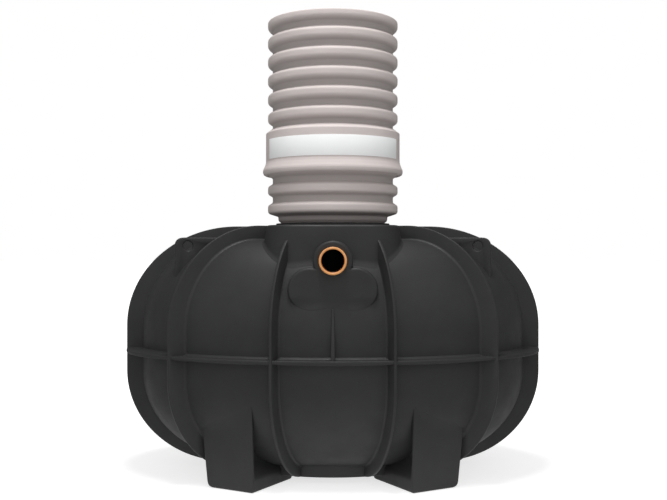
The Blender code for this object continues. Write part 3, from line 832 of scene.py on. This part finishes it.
def build_gussets():
    foot, top = RING_HIGH.z - GUSSET_SINK, PAD_LOW + GUSSET_TIP
    root, tip = SHELL_Y - GUSSET_ROOT, SHELL_Y - GUSSET_SINK
    for node, angle in (("front_gusset", -math.pi / 2), ("back_gusset", math.pi / 2)):
        low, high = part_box(node)
        outer = high.y if angle > 0 else -low.y
        outline = rounded([(root, foot), (outer, foot), (tip, top), (root, top)],
                          [GUSSET_ROUND, GUSSET_ROUND, GUSSET_EDGE, GUSSET_ROUND], steps=3)
        mesh = rounded_plate(outline, high.x - low.x, GUSSET_EDGE, radial_plane(angle))
        for vertex in mesh.vertices:
            vertex.co.x *= 1 - GUSSET_NARROWING * (vertex.co.z - foot) / (top - foot)
        show(node + "_web", mesh, BLACK, node)


LUG_CORNER = 0.042
LUG_ROUND = 0.001
LUG_EDGE = 0.005
LUG_HOLE_RADIUS = 0.022
LUG_HOLE_INSET = 0.0575
LUG_HOLE_DROP = 0.038
LUG_HOLE_POINTS = 48
LUG_THICKNESS = 0.028
LUG_SETBACK = 0.145
# The lug's hidden corners inside the tank, from its top round to its outer side
LUG_TOP_INNER = 0.50
LUG_INNER = 0.56
LUG_DEPTH = 0.03
LUG_FOOT = 0.80
LUG_HEEL = 0.05


def build_lugs():
    places = {"back_right": LUG_ANGLE, "back_left": math.pi - LUG_ANGLE,
              "front_left": math.pi + LUG_ANGLE, "front_right": -LUG_ANGLE}
    reach = SHELL_X - LUG_SETBACK
    for place, angle in places.items():
        node = "lifting_lug_" + place
        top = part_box(node)[1].z
        corners = [(LUG_INNER, SHELL_TOP - LUG_DEPTH), (LUG_INNER, LUG_FOOT),
                   (reach, UPPER_LEVEL + LUG_HEEL), (reach, top), (LUG_TOP_INNER, top)]
        outline = rounded(corners, [LUG_ROUND] * 3 + [LUG_CORNER, LUG_ROUND], steps=10)
        x, y = reach - LUG_HOLE_INSET, top - LUG_HOLE_DROP
        hole = [(x + LUG_HOLE_RADIUS * math.cos(t), y + LUG_HOLE_RADIUS * math.sin(t))
                for t in np.linspace(0, 2 * math.pi, LUG_HOLE_POINTS, endpoint=False)]
        mesh = rounded_plate(outline, LUG_THICKNESS, LUG_EDGE, radial_plane(angle), hole)
        show(node + "_web", mesh, BLACK, node)


# Feet and plinth

RIM_STEPS = 5
# Where a foot's front inner corner stands, and how far the foot is turned from the long axis
FOOT_CORNER = (0.337, SHELL_Y - 0.053)
FOOT_TURN = math.radians(28)
FOOT_SPLAY = math.radians(3.4)
FOOT_WIDTH = 0.233
FOOT_DEPTH = 0.300
# How far the outer side and the face move outwards for each metre up
FOOT_LEAN = 0.10
FACE_LEAN = 0.022
# The pocket in the foot's inner side, behind the plate that carries the face
FOOT_PLATE = 0.014
FOOT_POCKET = 0.050
POCKET_FOOT = 0.048
POCKET_RUN = 0.095
POCKET_SLANT = 0.01
POCKET_LEVELS = 11
FOOT_ROUND = 0.010
FOOT_TOE = 0.026
FOOT_SINK = 0.004
FOOT_LEVELS = 13
TOE_LEVELS = (0.016, 0.026, 0.036)
# Radii of the foot's upright corners: outer, front inner, pocket's lip, pocket, inner back
OUTER_CORNER = 0.012
INNER_CORNER = 0.008
LIP_CORNER = 0.005
POCKET_CORNER = 0.014
BACK_CORNER = 0.010
CORNER_SAMPLES = 6
# The face flows into the tank: its extra points, and how far out and down the curve goes
FACE_SPLITS = 12
BLEND_REACH = 0.018
BLEND_DROP = 0.045
BLEND_STEPS = 8
BLEND_RISE = 3
BLEND_LIFT = 0.8
# Middle of the rings that close the foot inside the tank, as (across, back)
FOOT_CORE = (-0.14, FOOT_PLATE / 2)
CORE_RINGS = 6
SETTLE_ROUNDS = 12


def foot_ring(low, height):
    """Plan of a foot at one height, as (across, back), with the pocket that deepens upwards."""
    toe = FOOT_TOE - math.sqrt(max(0, FOOT_TOE ** 2 - max(0, FOOT_TOE - height) ** 2))
    outer = -FOOT_WIDTH - FOOT_LEAN * height + max(toe, low)
    face, back = low - FACE_LEAN * height, FOOT_DEPTH - low
    climb = min(max((height - POCKET_FOOT) / POCKET_RUN, 0), 1)
    pocket = -low - FOOT_POCKET * eased(climb)
    splits = [(outer + (-low - outer) * k / (FACE_SPLITS + 1), face) for k in range(1, FACE_SPLITS + 1)]
    points = [(outer, face), *splits, (-low, face), (-low, face + FOOT_PLATE),
              (pocket, face + FOOT_PLATE + POCKET_SLANT * climb), (pocket, back), (outer, back)]
    radii = [OUTER_CORNER] + [0] * FACE_SPLITS
    radii += [INNER_CORNER, LIP_CORNER * climb, POCKET_CORNER * climb, BACK_CORNER, OUTER_CORNER]
    return sampled(points, radii, CORNER_SAMPLES)


def foot_place(plan, height):
    """Points of the front left foot's plan in the tank's own frame."""
    across = np.array([math.cos(FOOT_TURN), -math.sin(FOOT_TURN)])
    back = np.array([math.sin(FOOT_TURN + FOOT_SPLAY), math.cos(FOOT_TURN + FOOT_SPLAY)])
    return raised(plan[:, :1] * across + plan[:, 1:] * back - np.array(FOOT_CORNER), height)


def face_flare(count):
    """For each point of a foot's plan, how much the face flows out there, from 0 to 1."""
    flare = np.zeros(count)
    for k in range(1, FACE_SPLITS + 1):
        bulge = math.sin(math.pi * k / (FACE_SPLITS + 1)) ** 2
        flare[k * CORNER_SAMPLES:(k + 1) * CORNER_SAMPLES] = min(1, BLEND_RISE * bulge)
    return flare


def foot_grid():
    """Closed rows of a foot from its sole up to the tank, and then in along the tank."""
    rows = []
    for turn in quarter(RIM_STEPS):
        height = FOOT_ROUND * (1 - math.cos(turn))
        rows.append(foot_place(foot_ring(FOOT_ROUND * (1 - math.sin(turn)), height), height))
    for height in (*TOE_LEVELS, *np.linspace(POCKET_FOOT, POCKET_FOOT + POCKET_RUN, POCKET_LEVELS)):
        rows.append(foot_place(foot_ring(0, height), height))
    base = rows[-1]
    heights = np.full(len(base), LOWER_LEVEL)
    for _ in range(SETTLE_ROUNDS):
        plan = np.array([foot_ring(0, height)[k] for k, height in enumerate(heights)])
        top = foot_place(plan, 0)
        heights = np.maximum(lower_height(top) + FOOT_SINK, base[:, 2])
    top[:, 2] = heights
    flare = face_flare(len(plan))
    plan[:, 1] -= flare * BLEND_REACH
    end = foot_place(plan, 0)
    end[:, 2] = np.maximum(lower_height(end) + FOOT_SINK * (1 - BLEND_LIFT * flare), base[:, 2])
    corner = lowered(top, flare * FOOT_SINK)
    start = lowered(corner, flare * np.minimum(BLEND_DROP, corner[:, 2] - base[:, 2]))
    rows += [base + (start - base) * t for t in shares(FOOT_LEVELS)]
    rows += [bend(start, corner, end, t) for t in shares(BLEND_STEPS)]
    core = foot_place(np.array([FOOT_CORE]), 0)[0]
    for t in shares(CORE_RINGS)[:-1]:
        ring = end + (core - end) * t
        ring[:, 2] = lower_height(ring) + FOOT_SINK
        rows.append(ring)
    return np.array(rows)


def build_feet():
    grid = foot_grid()
    for depth, flip_y in (("front", 1), ("back", -1)):
        for side, flip_x in (("left", 1), ("right", -1)):
            place = depth + "_" + side
            mesh = welded(loft("foot", grid * (flip_x, flip_y, 1)))
            show("leg_" + place, mesh, BLACK, "foot_" + place)


PLINTH_ROUND = 0.008
PLINTH_RISE = 0.035


def build_plinth():
    """The hub, with rounded rims, up into the tank's underside."""
    low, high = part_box("base_plinth")[0].z, SHELL_BOTTOM + PLINTH_RISE
    rim = [(PLINTH_ROUND * (1 - math.sin(turn)), PLINTH_ROUND * (1 - math.cos(turn)))
           for turn in quarter(RIM_STEPS)]
    profile = [(PLINTH_X - shrink, low + rise) for shrink, rise in rim]
    profile += [(PLINTH_X - shrink, high - rise) for shrink, rise in rim[::-1]]
    mesh = loft("plinth", turn_grid(profile, PLAN_STEPS, PLINTH_Y / PLINTH_X))
    show("base_hub", mesh, BLACK, "base_plinth")


# Riser

PART_GAP = 0.0003
TURN_STEPS = 192
STUB_LOW, STUB_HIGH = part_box("riser_lower")
BELL_LOW, BELL_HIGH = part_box("riser_upper")
CREST_RADIUS, STUB_TOP, STUB_FOOT = STUB_HIGH.x, STUB_HIGH.z, STUB_LOW.z
FLARE_RADIUS, RISER_TOP, BELL_MOUTH = BELL_HIGH.x, BELL_HIGH.z, BELL_LOW.z
GROOVE = CREST_RADIUS - 0.0221
BORE = GROOVE - 0.0136
CREST_PITCH = 0.0872
SPIGOT_RADIUS = 0.242
SPIGOT_WALL = 0.012
SPIGOT_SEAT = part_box("riser_seal")[1].z + PART_GAP
LOWEST_CREST = SPIGOT_SEAT + 0.064
HIGHEST_CREST = RISER_TOP - 0.0120
STUB_CRESTS = 4
UPPER_CRESTS = 6
BELL_BORE = CREST_RADIUS + PART_GAP
BELL_RADIUS = BELL_BORE + 0.0089
BELL_SEAT = STUB_TOP + PART_GAP
BELL_TOP = BELL_SEAT + 0.0235
BELL_SLOPE = 0.022
CREST_ROUND = 0.0015
# Distance from a crest's middle, and how far the wall lies in from the crest there
WAVE = ((0, 0), (0.008, 0), (0.013, 0.0007), (0.0166, 0.0023), (0.0194, 0.0048), (0.0219, 0.0082),
        (0.0246, 0.0128), (0.0270, 0.0169), (0.0296, 0.0199), (0.0328, 0.0217), (0.0370, 0.0221))
# Points of the lowest crest that the spigot's shoulder takes the place of
SHOULDER_POINTS = 5
# The shoulder's radii, and how far below the lowest crest they are
SHOULDER = ((0.2700, 0.0303), (0.2620, 0.0326), (0.2575, 0.0345), (0.2556, 0.0380), (0.2552, 0.0500),
            (0.2515, 0.0565), (0.2460, 0.0605))
SPIGOT_SLOPE = 0.027
RIM_ROUND = 0.005
GROOVE_ROUND = 0.004
# Radius, height and rounding of the bell's points, from the last groove down and back up inside
BELL = (
    (GROOVE, BELL_TOP + BELL_SLOPE, 0.008), (BELL_RADIUS, BELL_TOP - 0.001, 0.006),
    (BELL_RADIUS, BELL_MOUTH + 0.064, 0.006), (BELL_RADIUS + 0.0024, BELL_MOUTH + 0.054, 0.006),
    (FLARE_RADIUS - 0.0060, BELL_MOUTH + 0.0385, 0.006),
    (FLARE_RADIUS - 0.0015, BELL_MOUTH + 0.0290, 0.006),
    (FLARE_RADIUS, BELL_MOUTH + 0.0215, 0.006), (FLARE_RADIUS - 0.0010, BELL_MOUTH + 0.0120, 0.003),
    (FLARE_RADIUS - 0.0040, BELL_MOUTH + 0.0055, 0.003),
    (FLARE_RADIUS - 0.0110, BELL_MOUTH + 0.0015, 0.003),
    (BELL_BORE + 0.002, BELL_MOUTH, 0.001), (BELL_BORE, BELL_MOUTH + 0.002, 0.001),
    (BELL_BORE, BELL_SEAT, 0.001), (BORE, BELL_SEAT, 0.001), (BORE, RISER_TOP, 0.003),
)


def crest(middle):
    """Outer points of one corrugation, from its top to its bottom."""
    above = [(CREST_RADIUS - depth, middle + rise) for rise, depth in WAVE[::-1]]
    return above + [(CREST_RADIUS - depth, middle - rise) for rise, depth in WAVE[1:]]


def build_stub():
    """The corrugated pipe that stands in the neck."""
    profile = [(GROOVE, STUB_TOP)]
    for i in reversed(range(STUB_CRESTS)):
        profile += crest(LOWEST_CREST + i * CREST_PITCH)
    profile = profile[:-SHOULDER_POINTS] + [(radius, LOWEST_CREST - drop) for radius, drop in SHOULDER]
    bore = SPIGOT_RADIUS - SPIGOT_WALL
    profile += [(SPIGOT_RADIUS, SPIGOT_SEAT), (SPIGOT_RADIUS, STUB_FOOT), (bore, STUB_FOOT),
                (bore, SPIGOT_SEAT + SPIGOT_SLOPE), (BORE, LOWEST_CREST), (BORE, STUB_TOP)]
    mesh = loft("stub", turn_grid(rounded(profile, CREST_ROUND, steps=2), TURN_STEPS), wrap=True)
    show("riser_stub", mesh, BEIGE, "riser_lower")


def build_bell():
    """The upper pipe, from its rim down to the bell that sits over the stub."""
    profile = [(CREST_RADIUS, RISER_TOP)] + crest(HIGHEST_CREST)[len(WAVE):]
    for i in range(1, UPPER_CRESTS):
        profile += crest(HIGHEST_CREST - i * CREST_PITCH)
    radii = [RIM_ROUND] + [CREST_ROUND] * (len(profile) - 2) + [GROOVE_ROUND]
    profile += [point[:2] for point in BELL]
    radii += [point[2] for point in BELL]
    mesh = loft("bell", turn_grid(rounded(profile, radii, steps=3), TURN_STEPS), wrap=True)
    show("riser_bell", mesh, BEIGE, "riser_upper")


SEAL_LIP = 0.0094
SEAL_SLANT = 0.002
SEAL_ROUND = 0.0022


def build_seal():
    low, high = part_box("riser_seal")
    inner = SPIGOT_RADIUS + PART_GAP
    outer = inner + SEAL_LIP
    base = HOUSING_TOP + PART_GAP
    profile = [(high.x, high.z - SEAL_SLANT), (high.x, base), (outer, base), (outer, low.z),
               (inner, low.z), (inner, high.z)]
    mesh = loft("seal", turn_grid(rounded(profile, SEAL_ROUND, steps=3), TURN_STEPS), wrap=True)
    show("neck_seal", mesh, RUBBER, "riser_seal")


LABEL_GAP = 0.0001
LABEL_PROUD = 0.0010
LABEL_ROUND = 0.0005
LABEL_POINTS = 97


def build_label():
    """The blank band, bent round the front of the bell."""
    low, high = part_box("label_band")
    half = math.asin(min(1, high.x / -low.y))
    inner, outer = BELL_RADIUS + LABEL_GAP, BELL_RADIUS + LABEL_PROUD
    corners = [(inner, low.z), (outer, low.z), (outer, high.z), (inner, high.z)]
    section = rounded(corners, LABEL_ROUND, steps=2)
    front = -math.pi / 2
    grid = [[(r * math.cos(angle), r * math.sin(angle), z) for r, z in section]
            for angle in np.linspace(front - half, front + half, LABEL_POINTS)]
    show("blank_label", loft("label", np.array(grid)), FILM, "label_band")


# Stage

CAMERA_BACK = 4.354
CAMERA_HEIGHT = 1.042
CAMERA_LENS = 50
CAMERA_SENSOR = 36
CAMERA_SHIFT = (0.001, -0.006)
FLOOR_RADIUS = 60.0
FLOOR_LEVELS = (-0.001, -0.2)
FLOOR_STEPS = 96
FLOOR_GREY = 0.60
FLOOR_ROUGHNESS = 0.9
# Glow that the floor adds, for all rays but the camera's and then for the camera's: the near
# and the far distance, and the glow at each
FLOOR_FILL = (0.7, 1.3, 0.55, 0.0)
FLOOR_GLOW = (1.2, 3.0, 0.70, 1.0)
BACKDROP = 1.0
# Parts of the sky's light. In each, steps along the height (Z) or depth (Y) of a ray multiply up,
# and a step gives the axis, where it starts and ends, and its values there.
SKY = (
    # Softbox high in front
    (("Z", 0.25, 0.45, 0, 1.00), ("Z", 0.70, 0.90, 1, 0), ("Y", -0.45, -0.05, 1, 0)),
    # Low sides
    (("Z", 0.30, 0.50, 0.50, 0), ("Y", -0.85, -0.55, 0, 1), ("Y", 0.10, 0.35, 1, 0)),
    # Horizon in front
    (("Z", 0.25, 0.45, 0.70, 0), ("Y", -0.75, -0.35, 1, 0)),
    # Ceiling
    (("Z", 0.70, 0.90, 0, 0.45),),
    # Behind the tank
    (("Y", 0.1, 0.5, 0, 0.15),),
)
# Name, place, aim, width and power
LAMPS = (("key", (-0.2, -1.4, 6.0), (0, 0, 1.2), 1.6, 198),
         ("front", (0, -5.0, 0.9), (0, 0, 0.9), 1.2, 5))


def joined(tree, operation, sources):
    """The sum or product of several values."""
    result = sources[0]
    for source in sources[1:]:
        node = tree.nodes.new("ShaderNodeMath")
        node.operation = operation
        tree.links.new(result, node.inputs[0])
        tree.links.new(source, node.inputs[1])
        result = node.outputs["Value"]
    return result


def build_world():
    """Studio light from a few directions, behind a plain white that only the camera sees."""
    world = bpy.data.worlds.new("studio")
    bpy.context.scene.world = world
    world.use_nodes = True
    tree = world.node_tree
    light = tree.nodes["Background"]
    light.inputs["Color"].default_value = (1, 1, 1, 1)
    coordinates = tree.nodes.new("ShaderNodeTexCoord")
    split = tree.nodes.new("ShaderNodeSeparateXYZ")
    tree.links.new(coordinates.outputs["Generated"], split.inputs["Vector"])
    parts = []
    for steps in SKY:
        factors = [between(tree, split.outputs[axis], *values) for axis, *values in steps]
        parts.append(joined(tree, "MULTIPLY", factors))
    tree.links.new(joined(tree, "ADD", parts), light.inputs["Strength"])
    backdrop = tree.nodes.new("ShaderNodeBackground")
    backdrop.inputs["Color"].default_value = (1, 1, 1, 1)
    backdrop.inputs["Strength"].default_value = BACKDROP
    path = tree.nodes.new("ShaderNodeLightPath")
    mix = tree.nodes.new("ShaderNodeMixShader")
    tree.links.new(path.outputs["Is Camera Ray"], mix.inputs["Fac"])
    tree.links.new(light.outputs["Background"], mix.inputs[1])
    tree.links.new(backdrop.outputs["Background"], mix.inputs[2])
    tree.links.new(mix.outputs["Shader"], tree.nodes["World Output"].inputs["Surface"])


def build_floor():
    """A white floor that keeps the shadow near the tank and is plain white further out."""
    mesh = loft("floor", turn_grid([(FLOOR_RADIUS, level) for level in FLOOR_LEVELS], FLOOR_STEPS))
    material, tree, shader = graph("floor", (FLOOR_GREY,) * 3, FLOOR_ROUGHNESS)
    shader.inputs["Specular IOR Level"].default_value = 0.0
    coordinates = tree.nodes.new("ShaderNodeTexCoord")
    distance = vector_math(tree, "LENGTH", coordinates.outputs["Object"]).outputs["Value"]
    path = tree.nodes.new("ShaderNodeLightPath")
    choice = tree.nodes.new("ShaderNodeMix")
    tree.links.new(path.outputs["Is Camera Ray"], choice.inputs["Factor"])
    tree.links.new(between(tree, distance, *FLOOR_FILL), choice.inputs["A"])
    tree.links.new(between(tree, distance, *FLOOR_GLOW), choice.inputs["B"])
    glow = tree.nodes.new("ShaderNodeEmission")
    tree.links.new(choice.outputs["Result"], glow.inputs["Strength"])
    add = tree.nodes.new("ShaderNodeAddShader")
    tree.links.new(shader.outputs["BSDF"], add.inputs[0])
    tree.links.new(glow.outputs["Emission"], add.inputs[1])
    tree.links.new(add.outputs["Shader"], tree.nodes["Material Output"].inputs["Surface"])
    floor = new_object("floor", mesh, material)


def build_stage():
    build_world()
    build_floor()
    for name, place, target, size, power in LAMPS:
        lamp = bpy.data.lights.new(name, "AREA")
        lamp.shape = "DISK"
        lamp.size = size
        lamp.energy = power
        obj = linked(name, lamp)
        obj.location = place
        obj.rotation_euler = (Vector(target) - Vector(place)).to_track_quat("-Z", "Y").to_euler()

    camera = bpy.data.cameras.new("camera")
    camera.lens = CAMERA_LENS
    camera.sensor_width = CAMERA_SENSOR
    camera.shift_x, camera.shift_y = CAMERA_SHIFT
    obj = linked("camera", camera)
    obj.location = (0, -CAMERA_BACK, CAMERA_HEIGHT)
    obj.rotation_euler = (math.pi / 2, 0, 0)
    bpy.context.scene.camera = obj
    bpy.context.scene.view_settings.view_transform = "Standard"


build_upper_shell()
build_lower_shell()
build_ring()
build_ribs()
build_housing()
build_pads()
build_pipe()
build_gussets()
build_lugs()
build_feet()
build_plinth()
build_stub()
build_bell()
build_seal()
build_label()
build_stage()
